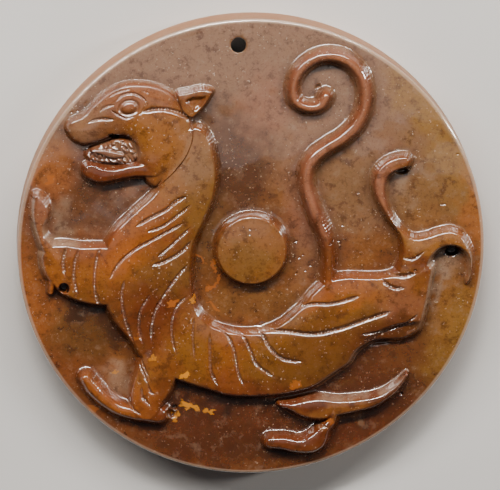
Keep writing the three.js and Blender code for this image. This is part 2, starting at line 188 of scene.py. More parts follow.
# Limbs: share of the relief's height, run of the wall, then x, y and half the width at the foot.
LIMBS = {
    "lower jaw": (0.98, 0.9, [
        (-12.4, 10.7, 1.5), (-15.2, 10.6, 1.35), (-17.5, 10.15, 1.35), (-19.4, 10.1, 1.6),
        (-20.5, 10.6, 1.6)]),
    "tongue": (0.72, 0.6, [
        (-16.6, 12.6, 0.7), (-17.8, 12.7, 0.85), (-19.2, 13.1, 0.75), (-20.3, 13.2, 0.55)]),
    "raised foreleg": (0.97, 1, [
        (-17.5, -3.2, 4.6), (-20, -3.1, 4.5), (-22.2, -2.7, 4.1), (-24, -1.7, 3.4),
        (-25.2, -0.7, 2.4)]),
    "raised paw": (1.02, 1, [
        (-25, -1, 1.5), (-26.2, 0.7, 1.4), (-27, 2.3, 1.15), (-27.2, 3.8, 1.35), (-27, 5.2, 1.7),
        (-27.2, 6.5, 1.4), (-27.5, 7.3, 0.95)]),
    "dew claw": (0.9, 0.9, [
        (-25.6, -0.2, 1.6), (-25.6, -1.9, 1.2), (-25.6, -3.6, 0.95), (-25.8, -5.3, 0.7)]),
    "standing foreleg": (1.03, 1, [
        (-11.9, -15, 3.1), (-12.5, -17, 3.2), (-13.3, -19, 2.9), (-13.6, -20.6, 2.5)]),
    "front foot": (0.96, 1.3, [
        (-12, -21.7, 1.9), (-14.5, -21.5, 1.75), (-16.9, -21, 1.55), (-18.9, -19.7, 1.55),
        (-20.4, -18.1, 1.65), (-21.3, -16.8, 1.5)]),
    "near hind leg": (1, 1.1, [
        (3.6, -20.5, 0.55), (5, -20.8, 1.1), (6.8, -21.1, 1.8), (8.8, -21.2, 2.15), (10.7, -21.1, 1.8),
        (13.3, -20.8, 1.55), (15.8, -20.3, 1.4), (17.7, -19.3, 1.1), (19.1, -18, 0.8),
        (20, -16.8, 0.45)]),
    "near hind paw": (1.04, 1.15, [
        (10.6, -21.9, 1.1), (10.3, -22.9, 1.25), (9.4, -23.9, 1.45), (8.2, -25.6, 1.9),
        (6.2, -26.1, 1.65), (4.2, -25.7, 1.6), (2.5, -25.6, 1.5)]),
    "tail": (1.03, 1.25, [
        (9.8, -4.9, 1.45), (9.9, -2.6, 1.4), (9.9, -0.4, 1.4), (9.5, 1.6, 1.45), (8.6, 3.7, 1.5),
        (7.8, 5.8, 1.5), (7.15, 8, 1.45), (7.1, 10.2, 1.45), (8, 12, 1.5), (9.8, 13.4, 1.5),
        (11.7, 14.6, 1.5), (13.3, 16.1, 1.5), (14.3, 18, 1.45), (14.6, 20.1, 1.45), (14.2, 22.3, 1.45),
        (13, 24.1, 1.45), (11.3, 25.1, 1.45), (9.3, 25.3, 1.4), (7.4, 24.6, 1.35), (5.9, 23.1, 1.3),
        (5.3, 21.1, 1.25), (5.7, 19.4, 1.25), (7.2, 18.6, 1.25), (8.8, 18.9, 1.3), (9.5, 20, 1.4)]),
}

# Incised lines: share of the usual width, then points along the middle.
LINES = {
    "mane": [
        (1.35, [(-15, 3.3), (-13.2, 4.4), (-10.9, 5.6), (-9.6, 6.7), (-8.2, 7.3)]),
        (1, [(-13.6, 2.6), (-11.4, 3.4), (-9.5, 4.8), (-7.8, 6.2)]),
        (1.1, [(-18.3, -3.6), (-17, -1.4), (-15.1, 0.3), (-12.6, 1.7), (-9.8, 3.2), (-8.7, 3.8)]),
        (1, [(-12.3, -0.8), (-10.5, 0.7), (-9, 2.1), (-7.7, 3.3)]),
        (1.25, [(-13.1, -1.9), (-11.1, -1.2), (-8.9, 0.1), (-7.7, 1.5)])],
    "shoulder": [
        (1.1, [(-8.1, -1.6), (-9.7, -3.4), (-11.2, -5.6), (-12.4, -7.9), (-12.9, -10), (-12.9, -11.9)])],
    "ribs": [
        (1, [(-8.2, -5.8), (-9.4, -6.9), (-10.2, -8.8), (-10.3, -11), (-9.7, -13.5)]),
        (0.9, [(-7.4, -8.6), (-7.6, -11.2), (-7.4, -14)]),
        (1, [(-5.4, -10.6), (-5.4, -13.4), (-5.2, -16), (-4.3, -17.9)]),
        (1.1, [(-4.3, -10.1), (-2.9, -11.6), (-2.2, -13.6), (-1.8, -16), (-1, -17.9)]),
        (1.1, [(-3.2, -10.4), (-1.2, -11.2), (-0.3, -12.9), (0.7, -15.1), (2.9, -16.8)]),
        (1.25, [(-0.6, -10.8), (1.3, -11.1), (2.3, -12.8), (3.9, -14.3), (6.6, -14.8)])],
    "haunch": [
        (1.6, [(0.4, -10.5), (4.4, -10.7), (8, -11.1), (11.5, -10.4), (15, -9.2), (18.1, -8.2)]),
        (1.25, [(5.9, -8), (7.3, -7.2), (10.4, -7.1), (14, -6.1)])],
    "hock": [(1, [(14, -11.3), (17.2, -10.9), (19.6, -10.1), (21.5, -8.6)])],
    "rump": [
        (1.5, [(16.7, -3.6), (17.3, -4.6), (18.6, -5.2), (19.8, -5.1)]),
        (1.7, [(17.4, -3.3), (19.2, -3.6), (21.3, -3.2)])],
    "far thigh": [(1, [(19.2, -1.2), (20.8, -1.3), (22.2, -0.3)])],
    "chest": [
        (1.1, [(-16.3, -3.4), (-16.7, -5.8), (-16.4, -8.2), (-15.8, -10.4), (-15.1, -12.2)]),
        (1, [(-13, -5.5), (-14.3, -7.8), (-14.5, -10), (-14, -12.2)])],
    "elbow": [(1.1, [(-19.3, 1), (-20, -1.4), (-20.2, -4.4), (-19.7, -6.6), (-19, -7.4)])],
    "wrist": [
        (1.2, [(-22, 0.8), (-22.7, -1.2), (-22.8, -3.6), (-22.3, -5.5)]),
        (1.2, [(-23.6, 1), (-24.2, -1), (-23.9, -3.2)])],
    "knee": [(0.9, [(-14.7, -14.3), (-13.9, -16), (-13.4, -17.6)])],
    "front claws": [
        (1.1, [(-13.4, -17.3), (-13, -18.6), (-12.2, -18.8)]),
        (1.1, [(-14.2, -17.6), (-14.1, -19.1), (-12.9, -20.6)]),
        (1.1, [(-15.8, -18.8), (-15.6, -20.5), (-14.2, -21.6)])],
    "ankle": [(1.3, [(7.7, -22.8), (8.7, -23.3), (10, -23.6)])],
    "hind claw": [(1.1, [(6.4, -25.4), (7.4, -25)])],
    "cheek": [(1.4, [(-14.2, 18.3), (-12.3, 18.75), (-10, 18.5), (-7.9, 17.5)])],
    "brow": [(0.9, [(-17.4, 19.6), (-16.6, 20.55), (-15.2, 20.8), (-13.9, 20.2), (-13.3, 19.3)])],
    "eyelids": [
        (1, [(-19.6, 18.3), (-18.6, 19.1), (-17.3, 19.4)]),
        (0.9, [(-18.2, 18.8), (-17.2, 18.1), (-16.1, 17.6), (-14.8, 17.9)])],
    "lip": [(1.2, [(-21, 17), (-19.6, 17.5), (-17.4, 17.4)])],
}

# Outline of the far hind leg with its upturned paw and its spur, clockwise from the paw.
FAR_HIND_LEG = [
    (15.27, 10), (16, 11.2), (17.3, 12.2), (18.9, 12.7), (20.2, 12.6), (20.9, 11.6), (20.6, 10.4),
    (19.1, 9.8), (18, 9.15), (17.7, 7.45), (18, 5.85), (18.75, 4.15), (19.8, 2.7), (21.05, 1.95),
    (22.6, 2.2), (24, 2.65), (25.55, 2.9), (27.1, 2.3), (28.25, 0.85), (28.9, -1.15), (28.8, -3.25),
    (28.2, -4.95), (27.5, -5.3), (27.3, -4.6), (27.5, -3.25), (27.35, -1.65), (26.7, -0.7), (25.8, -0.35),
    (24.65, -0.55), (23.75, -1.35), (23, -2.9), (20.5, -4.5), (18.2, -3.1), (18.65, -1.55), (18.8, 0.05),
    (18.4, 1.65), (17.35, 3.1), (16.3, 4.8), (15.4, 6.7), (15.05, 8.4),
]

# Lighter strokes, and holes and hollows as x, y, half sizes, heading and depth.
STROKES = [
    (0.8, [(-7.8, 12.5), (-8.2, 12), (-8.6, 11.4)]),
    (0.7, [(-14.1, 21.1), (-13.4, 20.9), (-12.8, 20.5)]),
    (0.5, [(-20.6, 20), (-21.1, 19.4), (-21.5, 18.7)]),
    (0.9, [(-14.3, -13.9), (-13.8, -15.4), (-13.1, -16.9)]),
    (0.7, [(-18.4, 20.2), (-17, 21), (-15.2, 21.35)]),
    (0.8, [(-14.6, 17.9), (-13.9, 18.5), (-13.7, 19.4)]),
]
PITS = [
    (-17.6, 15.05, 0.75, 0.38, -5, 0.9),
    (-24.1, -4.7, 0.75, 0.8, 20, 1.2),
    (19.2, 9.9, 1.1, 0.42, 0, 0.5),
    (25.85, -0.75, 0.95, 0.7, 5, 1.2),
    (18.4, -11.3, 4.6, 1.35, 17, 0.55),
    (21, -2.9, 0.3, 0.2, 0, 0.2),
    (19.4, -19.6, 0.3, 0.25, 0, 0.2),
    (-10.4, -21.8, 0.9, 0.6, -30, 0.5),
    (-9.9, -21, 0.5, 0.4, 20, 0.4),
    (8.6, 21, 0.5, 0.5, 0, 0.25),
    (5.8, 0.8, 0.2, 0.12, 30, 0.12), (6.2, -1.35, 0.2, 0.14, 0, 0.12), (6.7, -1, 0.15, 0.12, 0, 0.1),
    (5.8, -3.4, 0.2, 0.12, 60, 0.12), (7, -3.1, 0.16, 0.12, 0, 0.1), (7.5, -2.4, 0.16, 0.12, 0, 0.1),
    (10.1, 0.7, 0.2, 0.14, 0, 0.15), (10.5, 1.1, 0.2, 0.14, 50, 0.15), (11.2, 0.8, 0.2, 0.14, 0, 0.12),
    (-3.5, 1.1, 0.15, 0.12, 0, 0.08), (-0.3, 2.8, 0.15, 0.1, 0, 0.08), (-0.3, 2.1, 0.12, 0.1, 0, 0.08),
    (24.65, 5.45, 0.4, 0.12, 0, 0.12), (26.5, 12, 0.14, 0.12, 0, 0.1), (13.7, 7.1, 0.2, 0.16, 0, 0.12),
    (11.7, 2.8, 0.14, 0.12, 0, 0.1), (-21.3, 18.8, 0.14, 0.12, 0, 0.1), (-23, 18.1, 0.2, 0.14, 0, 0.12),
    (-22.2, 18.3, 0.14, 0.12, 0, 0.1),
]


def smooth_line(points, closed=False, step=LINE_STEP):
    """Evenly spaced rows on the centripetal Catmull-Rom line through the points; all columns go along.

    The slopes at the points come from their neighbours, weighed by the root of the distances.
    """
    p = np.asarray(points, float)
    if closed:
        p = np.vstack([p[-1:], p, p[:2]])
    else:
        p = np.vstack([2 * p[0] - p[1], p, 2 * p[-1] - p[-2]])
    gap = np.sqrt(np.maximum(np.linalg.norm(np.diff(p[:, :2], axis=0), axis=1), 1e-6))[:, None]
    before, here, after = gap[:-2], gap[1:-1], gap[2:]
    p0, p1, p2, p3 = p[:-3], p[1:-2], p[2:-1], p[3:]
    slope1 = ((p1 - p0) / before - (p2 - p0) / (before + here) + (p2 - p1) / here) * here
    slope2 = ((p2 - p1) / here - (p3 - p1) / (here + after) + (p3 - p2) / after) * here
    t = np.linspace(0, 1, 24, endpoint=False)[None, :, None]
    rows = (
        (2 * t**3 - 3 * t**2 + 1) * p1[:, None] + (t**3 - 2 * t**2 + t) * slope1[:, None]
        + (3 * t**2 - 2 * t**3) * p2[:, None] + (t**3 - t**2) * slope2[:, None]
    ).reshape(-1, p.shape[1])
    rows = np.vstack([rows, p[-2]])
    length = np.concatenate([[0], np.cumsum(np.linalg.norm(np.diff(rows[:, :2], axis=0), axis=1))])
    places = np.linspace(0, length[-1], max(2, round(length[-1] / step) + 1))
    return np.stack([np.interp(places, length, column) for column in rows.T], axis=1)


def windows(line, reach):
    """For each short piece of a line: the grid window within reach, the distance, and the row number there.

    The distance is to the nearest point of the piece; the row number runs on smoothly from row to row.
    """
    for k, (a, b) in enumerate(zip(line[:-1, :2], line[1:, :2])):
        low = np.floor((np.minimum(a, b) - reach) / PITCH).astype(int) + HALF_SIDE
        high = np.ceil((np.maximum(a, b) + reach) / PITCH).astype(int) + HALF_SIDE + 1
        low = np.clip(low, 0, SIDE)
        high = np.clip(high, 0, SIDE)
        part = (slice(low[0], high[0]), slice(low[1], high[1]))
        x, y = across[part] - a[0], up[part] - a[1]
        run = b - a
        share = np.clip((x * run[0] + y * run[1]) / (run @ run), 0, 1)
        yield part, np.hypot(x - share * run[0], y - share * run[1]), k + share


def inside(line):
    """True inside a closed line: along each grid column, each crossing turns out to in or back."""
    turns = np.zeros((SIDE + 1, SIDE), int)
    for a, b in zip(line[:-1], line[1:]):
        y0, y1 = sorted((a[1], b[1]))
        columns = np.arange(math.ceil(y0 / PITCH), math.ceil(y1 / PITCH))
        x = a[0] + (columns * PITCH - a[1]) * (b[0] - a[0]) / (b[1] - a[1]) if len(columns) else columns
        rows = np.clip(np.ceil(x / PITCH).astype(int) + HALF_SIDE, 0, SIDE)
        np.add.at(turns, (rows, columns + HALF_SIDE), 1)
    return np.cumsum(turns, axis=0)[:SIDE] % 2 == 1


def ticks(part, along):
    """How far a wall stands in or out of its line: a cosine of the way along, strongest where marked."""
    return tick_depth[part] * np.cos(2 * math.pi * along / TICK_PITCH)


def depth_inside(points, reach=4.0, marked=False):
    """Distance to a smooth closed outline, positive inside it and negative outside, cut off at the reach."""
    line = smooth_line(points, closed=True)
    distance = np.full((SIDE, SIDE), reach)
    offset = np.zeros((SIDE, SIDE))
    for part, near, row in windows(line, reach):
        nearer = near < distance[part]
        if marked:
            offset[part] = np.where(nearer, ticks(part, row * LINE_STEP), offset[part])
        distance[part] = np.minimum(distance[part], near)
    return np.where(inside(line), distance, -distance) + offset


def smooth_step(t):
    """0 below 0, 1 above 1, and 3t^2 - 2t^3 between."""
    t = np.clip(t, 0, 1)
    return t * t * (3 - 2 * t)


def wall(t):
    """Share of the height up a carved wall: a hollow foot, a straight slope and a rounded shoulder.

    The slope grows evenly from 0 over the foot, stays level, and falls evenly to 0 over the shoulder.
    """
    t = np.clip(t, 0, 1)
    slope = 1 / (1 - (FOOT_SHARE + SHOULDER_SHARE) / 2)
    return np.select(
        [t < FOOT_SHARE, t < 1 - SHOULDER_SHARE],
        [slope * t**2 / (2 * FOOT_SHARE), slope * (t - FOOT_SHARE / 2)],
        1 - slope * (1 - t) ** 2 / (2 * SHOULDER_SHARE))


def swell(depth, run):
    """How far a form's top has risen beyond its shoulder: quick at first, then level."""
    return CROWN * (1 - np.exp(-np.maximum(depth - run, 0) / SWELL_RUN))


def plate(points, height, run=WALL_RUN):
    """A flat-topped form: a smooth S-shaped wall inside the outline, and a slightly swelling top."""
    depth = depth_inside(points, marked=True)
    return height * wall(depth / run) + np.where(depth > run, swell(depth, run), 0)


def limb(share, run, path):
    """A form along a middle line; its wall is S-shaped and its ends are half rounds."""
    line = smooth_line(path)
    height = np.zeros((SIDE, SIDE))
    numbers = np.arange(len(line))
    for part, near, row in windows(line, line[:, 2].max()):
        half = np.interp(row, numbers, line[:, 2]) + ticks(part, row * LINE_STEP)
        own_run = np.minimum(run, half * 0.88)
        rise = share * RELIEF * wall((half - near) / own_run) + swell(half - near, own_run)
        height[part] = np.maximum(height[part], rise)
    return height


def groove(width_share, path, depth_share=1.0):
    """An incised line: (1 - t)^1.5 from its sharp bottom to its soft lip, pointed at both ends.

    Its depth wavers along the way, as a hand-held drill leaves it.
    """
    line = smooth_line(path, step=GROOVE_STEP)
    numbers = np.arange(len(line))
    to_end = np.minimum(numbers, numbers[::-1]) * GROOVE_STEP
    taper = smooth_step(0.15 + to_end / TAPER)
    half = LINE_WIDTH * width_share / 2
    depth = LINE_DEPTH * min(width_share, 1.4) * depth_share
    cut = np.zeros((SIDE, SIDE))
    for part, near, row in windows(line, half):
        here = np.interp(row, numbers, taper)
        waver = 1 + WAVER * np.cos(2 * math.pi * row * GROOVE_STEP / BEAD_PITCH)
        t = np.clip(near / (half * here + 1e-6), 0, 1)
        cut[part] = np.maximum(cut[part], depth * here * waver * (1 - t) ** 1.5)
    return cut


def waves(count, shortest, longest):
    """An uneven surface between about -1 and 1: sine waves of random length, heading and start."""
    total = np.zeros((SIDE, SIDE))
    for _ in range(count):
        length = random.uniform(shortest, longest)
        heading, start = random.uniform(0, 2 * math.pi, 2)
        total += np.sin(2 * math.pi * (across * math.cos(heading) + up * math.sin(heading)) / length + start)
    return total / math.sqrt(count)


def meet(one, other, soft=CREASE):
    """The higher of two heights, with the crease between them filled over a short distance."""
    close = np.clip(1 - np.abs(one - other) / soft, 0, 1)
    both = smooth_step(np.minimum(one, other) / 0.4)
    return np.maximum(one, other) + both * close * close * soft / 4


def oval(x, y, half_length, half_breadth, heading, at=(across, up)):
    """Distance from a centre as a share of an ellipse's own radius: 0 in the middle and 1 on its line."""
    turn = math.radians(heading)
    along = (at[0] - x) * math.cos(turn) + (at[1] - y) * math.sin(turn)
    aside = (at[1] - y) * math.cos(turn) - (at[0] - x) * math.sin(turn)
    return np.hypot(along / half_length, aside / half_breadth)


def face_height():
    """Over the grid: height of the carved face above its ground, depth of the incised lines, and dullness."""
    head_depth = depth_inside(HEAD, marked=True)
    beside_head = np.exp(-np.maximum(-head_depth, 0) / 0.9) * (head_depth < 0.2)
    body = plate(TRUNK, RELIEF)
    height = np.maximum(body - HEAD_CLEARING * beside_head * smooth_step(body / 0.8), 0)
    for share, run, path in LIMBS.values():
        height = meet(height, limb(share, run, path))
    height = meet(height, plate(FAR_HIND_LEG, RELIEF, WALL_RUN * 0.9))
    mouth = depth_inside(MOUTH)
    rough = np.abs(waves(14, 0.7, 1.8))
    height = np.maximum(height, smooth_step(mouth / 0.6) * (MOUTH_FLOOR + MOUTH_ROUGH * rough))
    rounded = np.sqrt(1 - (1 - np.clip(head_depth / HEAD_ROLL, 0, 1)) ** 2)
    head = RELIEF * HEAD_SHARE * (HEAD_WALL * wall(head_depth / 0.6) + (1 - HEAD_WALL) * rounded)
    cheek = smooth_step(depth_inside(CHEEK) / 0.7)
    head += np.where(head_depth > 0, CHEEK_RISE * cheek - BROW_FALL * smooth_step(head_depth / 1.5), 0)
    height = meet(height, head, HEAD_CREASE)
    dull_from, dull_to = DULL_SHOULDER
    dull = smooth_step((head_depth - dull_from) / 0.2) * smooth_step((dull_to - head_depth) / 0.5)
    dull *= smooth_step((up - 16) / 3)
    height = np.maximum(height, plate(EAR, RELIEF * EAR_SHARE, WALL_RUN * 0.6))
    from_middle = np.hypot(across, up)
    height = np.maximum(height, BOSS_HEIGHT * wall((BOSS_FOOT - from_middle) / BOSS_RUN)
                        + BOSS_SWELL * smooth_step((BOSS_FOOT - from_middle - 0.8) / 3))
    eye_x, eye_y, eye_radius, eye_rise = EYE
    to_eye = oval(eye_x, eye_y, eye_radius * 1.1, eye_radius * 0.85, 15)
    height += eye_rise * np.clip(1 - to_eye**2, 0, 1) ** 0.6
    cut = EYE_RING_DEPTH * np.exp(-((to_eye - 1.25) / 0.2) ** 2)
    for strokes in LINES.values():
        for width_share, path in strokes:
            cut = np.maximum(cut, groove(width_share, path))
    for width_share, path in STROKES:
        cut = np.maximum(cut, groove(width_share, path, 0.8))
    height -= cut
    height -= EAR_HOLLOW_DEPTH * smooth_step(depth_inside(EAR_HOLLOW) / 0.6)
    for x, y, half_length, half_breadth, heading, depth in PITS:
        height -= depth * (1 - smooth_step((oval(x, y, half_length, half_breadth, heading) - 0.45) / 0.55))
    return height, cut, dull


def concentric(u, v, radius):
    """The square from -1 to 1 laid on a disc: each square ring becomes a circle of the same share."""
    wide = np.abs(u) > np.abs(v)
    safe_u = np.where(u == 0, 1, u)
    safe_v = np.where(v == 0, 1, v)
    ring = np.where(wide, u, v)
    angle = np.where(wide, math.pi / 4 * v / safe_u, math.pi / 2 - math.pi / 4 * u / safe_v)
    angle = np.where((u == 0) & (v == 0), 0, angle)
    return radius * ring * np.cos(angle), radius * ring * np.sin(angle)


def sampled(grid, x, y):
    """The grid's value at x, y, by linear steps between its four nearest samples."""
    fx = np.clip(x / PITCH + HALF_SIDE, 0, SIDE - 1.001)
    fy = np.clip(y / PITCH + HALF_SIDE, 0, SIDE - 1.001)
    i, j = fx.astype(int), fy.astype(int)
    s, t = fx - i, fy - j
    return ((grid[i, j] * (1 - s) + grid[i + 1, j] * s) * (1 - t)
            + (grid[i, j + 1] * (1 - s) + grid[i + 1, j + 1] * s) * t)


def stand_off(z):
    """How far each corner of a net of halved squares stands off the middle of the edge that it halves."""
    last = z.shape[0] - 1
    error = np.zeros_like(z)
    size = 2
    while size <= last:
        corner = np.arange(0, last + 1, size)
        middle = np.arange(size // 2, last, size)
        for grid, err in ((z, error), (z.T, error.T)):
            ends = grid[np.ix_(corner, corner)]
            err[np.ix_(middle, corner)] = np.abs((ends[:-1] + ends[1:]) / 2 - grid[np.ix_(middle, corner)])
        cell = np.arange(len(middle))
        inner = (cell | 1) * size
        outer = (cell + cell % 2) * size
        diagonal = (z[np.ix_(inner, inner)] + z[np.ix_(outer, outer)]) / 2
        error[np.ix_(middle, middle)] = np.abs(diagonal - z[np.ix_(middle, middle)])
        size *= 2
    return error


def carry_up(error):
    """Raises each corner's error to the greatest of the finer corners that hang from it, finest first."""
    last = error.shape[0] - 1
    size = 2
    while size <= last:
        half, quarter = size // 2, size // 4
        corner = np.arange(0, last + 1, size)
        middle = np.arange(half, last, size)
        for err in (error, error.T):
            most = err[np.ix_(middle, corner)]
            for i, j in ((-1, -1), (-1, 1), (1, -1), (1, 1)) if quarter else ():
                column = np.clip(corner + j * quarter, quarter, last - quarter)
                most = np.maximum(most, err[np.ix_(middle + i * quarter, column)])
            err[np.ix_(middle, corner)] = most
        most = error[np.ix_(middle, middle)]
        for i, j in ((-half, 0), (half, 0), (0, -half), (0, half)):
            most = np.maximum(most, error[np.ix_(middle + i, middle + j)])
        error[np.ix_(middle, middle)] = most
        size *= 2
    return error


def cut_triangles(error, allowed):
    """Right-angled triangles, each halved at its long edge while the error there is above the allowed one."""
    last = error.shape[0] - 1
    apex = np.array([[last, 0], [0, last]])
    first = np.array([[last, last], [0, 0]])
    second = np.array([[0, 0], [last, last]])
    done = []
    while len(apex):
        middle = (first + second) // 2
        whole = np.abs(first - second).max(axis=1) > 1
        split = whole & (error[middle[:, 0], middle[:, 1]] > allowed)
        done.append(np.stack([apex[~split], first[~split], second[~split]], axis=1))
        a, b, c, m = apex[split], first[split], second[split], middle[split]
        apex, first, second = np.vstack([m, m]), np.vstack([a, c]), np.vstack([b, a])
    return np.vstack(done)


def numbered(triangles, grid_side):
    """Triangles as vertex numbers, with the grid places of the vertices that are used."""
    flat = triangles[..., 0] * grid_side + triangles[..., 1]
    used, faces = np.unique(flat, return_inverse=True)
    return faces.reshape(-1, 3), used // grid_side, used % grid_side


def outer_loop(i, j, last):
    """The used vertices on the square's outer edge, in order round it, counter-clockwise."""
    place = np.select(
        [j == 0, i == last, j == last, i == 0],
        [i, last + j, 3 * last - i, 4 * last - j], -1)
    on_edge = np.flatnonzero(place >= 0)
    return on_edge[np.argsort(place[on_edge] % (4 * last))]


def disc_mesh():
    """The whole stone as vertices and triangles, with the face's heights, line depths and dullness.

    The face and the back are halved-square nets laid on a disc; rings of quads between them turn the rim.
    """
    last = NET_CELLS
    height, cut, dull = face_height()
    height += SLOW_WAVES[0] * waves(*SLOW_WAVES[1:]) + QUICK_WAVES[0] * waves(*QUICK_WAVES[1:])
    to_hole = np.hypot(across - HOLE_PLACE[0], up - HOLE_PLACE[1]) - HOLE_RADIUS
    height -= LIP_DEPTH * (1 - smooth_step(to_hole / LIP_WIDTH))
    height = np.clip(height, -1.0, HIGHEST - GROUND)
    from_rim = FACE_RADIUS - np.hypot(across, up)
    height *= smooth_step(0.05 + from_rim / 0.5)
    u, v = np.meshgrid(np.linspace(-1, 1, last + 1), np.linspace(-1, 1, last + 1), indexing="ij")
    x, y = concentric(u, v, FACE_RADIUS)
    z = GROUND + sampled(height, x, y)
    z[(np.abs(u) == 1) | (np.abs(v) == 1)] = GROUND
    error = stand_off(z)
    for edge in (error[0], error[-1], error[:, 0], error[:, -1]):
        edge[::RIM_CELL] = 1
    coarse = error[::COLOUR_CELL, ::COLOUR_CELL]
    coarse[:] = 1
    faces, i, j = numbered(cut_triangles(carry_up(error), ALLOWED_ERROR), last + 1)
    top = np.stack([x[i, j], y[i, j], z[i, j]], axis=1)
    loop = outer_loop(i, j, last)

    back_error = np.zeros_like(z)
    back_error[i[loop], j[loop]] = 1
    back_faces, bi, bj = numbered(cut_triangles(carry_up(back_error), 0.5), last + 1)
    back = np.stack([x[bi, bj], y[bi, bj], np.zeros(len(bi))], axis=1)
    back_loop = outer_loop(bi, bj, last)

    turn = np.radians(EDGE_TURNS)
    corner_r = FACE_RADIUS + EDGE_ROUND * np.sin(turn)
    corner_z = EDGE_ROUND * np.cos(turn)
    ring_r = np.concatenate([corner_r, [DISC_RADIUS] * len(SIDE_RINGS), corner_r[::-1]])
    ring_z = np.concatenate([GROUND - EDGE_ROUND + corner_z, SIDE_RINGS, (EDGE_ROUND - corner_z)[::-1]])
    outward = top[loop, :2] / FACE_RADIUS
    rings = np.concatenate([
        np.column_stack([outward * r, np.full(len(loop), h)]) for r, h in zip(ring_r, ring_z)])
    numbers = np.vstack([
        loop, len(top) + np.arange(len(rings)).reshape(len(ring_r), -1),
        len(top) + len(rings) + back_loop])
    a, b = numbers[:-1], numbers[1:]
    a_next, b_next = np.roll(a, -1, axis=1), np.roll(b, -1, axis=1)
    side = np.concatenate([np.stack([a, b, b_next], -1).reshape(-1, 3),
                           np.stack([a, b_next, a_next], -1).reshape(-1, 3)])
    back_faces = len(top) + len(rings) + back_faces[:, ::-1]
    return np.vstack([top, rings, back]), np.vstack([faces, side, back_faces]), (height, cut, dull)


def placed(name, data):
    """A new object of this data, in the scene."""
    made = bpy.data.objects.new(name, data)
    bpy.context.scene.collection.objects.link(made)
    return made


def new_object(name, vertices, faces):
    """A smooth-shaded object from vertices in metres and triangles, through foreach_set."""
    mesh = bpy.data.meshes.new(name)
    mesh.vertices.add(len(vertices))
    mesh.vertices.foreach_set("co", np.ascontiguousarray(vertices, dtype=np.float32).ravel())
    mesh.loops.add(faces.size)
    mesh.loops.foreach_set("vertex_index", faces.astype(np.int32).ravel())
    mesh.polygons.add(len(faces))
    mesh.polygons.foreach_set("loop_start", np.arange(0, faces.size, faces.shape[1], dtype=np.int32))
    mesh.update(calc_edges=True)
    mesh.validate()
    return placed(name, mesh)


def colour(red, green, blue):
    """A linear colour with full alpha."""
    return (red, green, blue, 1.0)


# Linear colours of the stone. "black" is laid only as painted shade; "dark red" and "dark brown" also serve
# as painted shade, and "mauve" as part of a painted reflection, where the comments say so; the palest colour
# also paints highlight lines on the rim.
STONE = {
    "brown": colour(0.15, 0.047, 0.009),
    "amber": colour(0.27, 0.1, 0.02),
    "orange": colour(0.355, 0.1, 0.016),
    "ochre": colour(0.19, 0.088, 0.02),
    "olive": colour(0.155, 0.076, 0.014),
    "gold": colour(0.27, 0.128, 0.02),
    "rose": colour(0.29, 0.112, 0.058),
    "dark red": colour(0.11, 0.023, 0.007),
    "dark brown": colour(0.058, 0.018, 0.006),
    "mauve": colour(0.225, 0.118, 0.064),
    "yellow": colour(0.66, 0.25, 0.018),
    "ash": colour(0.3, 0.195, 0.125),
    "black": colour(0.01, 0.005, 0.003),
    "dust and highlight": colour(0.62, 0.46, 0.33),
}

# Edge zone: how near the rim the face keeps the mesh's own normals, and how far below the ground it reaches.
EDGE_ZONE = 0.6
FULL_SLOPE = 1.6          # rise over run that counts as quite steep
SHAKE = 0.8               # how far the clouds' edges are moved about
SHAKE_WAVES = (40, 1.2, 6.0)
FLECK_SHAKE = 0.0022      # the same for the flecks, in metres

